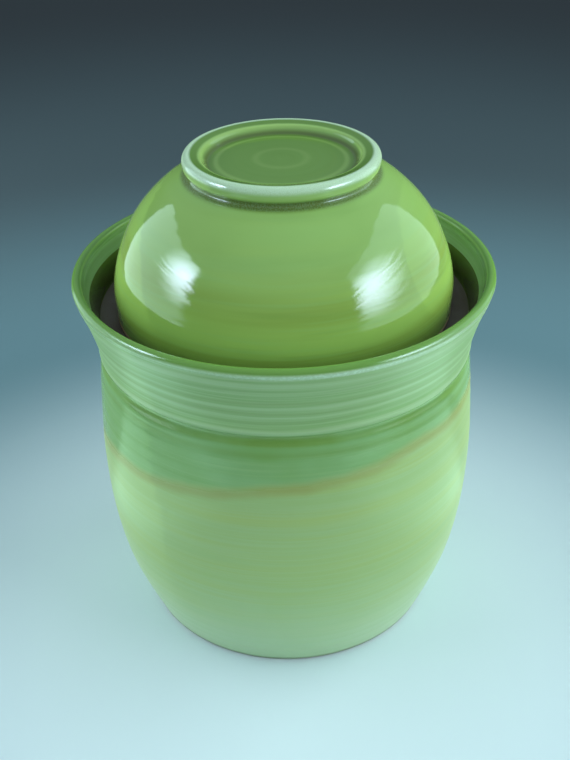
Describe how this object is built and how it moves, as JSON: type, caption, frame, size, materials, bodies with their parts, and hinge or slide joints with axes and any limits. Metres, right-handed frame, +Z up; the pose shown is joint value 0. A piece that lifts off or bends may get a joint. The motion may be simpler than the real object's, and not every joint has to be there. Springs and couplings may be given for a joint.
{
  "type": "fermenting crock",
  "caption": "Water-seal ceramic fermenting crock: bellied jar with flared moat collar, upturned footed bowl as lid, half-moon weights inside.",
  "frame": {"origin": "centre of the crock's foot, on the surface it stands on", "axes": "+Z up along the turning axis of the crock and the lid; the two weights part along X, so the cut between them runs along Y"},
  "size_m": [0.2052, 0.2052, 0.2478],
  "materials": {
    "crock_glaze": "satin to gloss celadon-green glaze",
    "lid_glaze": "glossy olive-green glaze",
    "stoneware": "unglazed fired clay"
  },
  "bodies": {
    "crock": {"crock": "crock_glaze"},
    "lid": {"lid_bowl": "lid_glaze"},
    "left_weight": {"weight_left": "stoneware"},
    "right_weight": {"weight_right": "stoneware"}
  },
  "joints": [
    {"name": "lid_lift", "type": "slide", "parent": "crock", "child": "lid", "axis": [0, 0, 1], "range_m": [0, 0.12]},
    {"name": "weight_left_lift", "type": "slide", "parent": "crock", "child": "left_weight", "axis": [0, 0, 1], "range_m": [0, 0.185]},
    {"name": "weight_right_lift", "type": "slide", "parent": "crock", "child": "right_weight", "axis": [0, 0, 1], "range_m": [0, 0.185]}
  ]
}
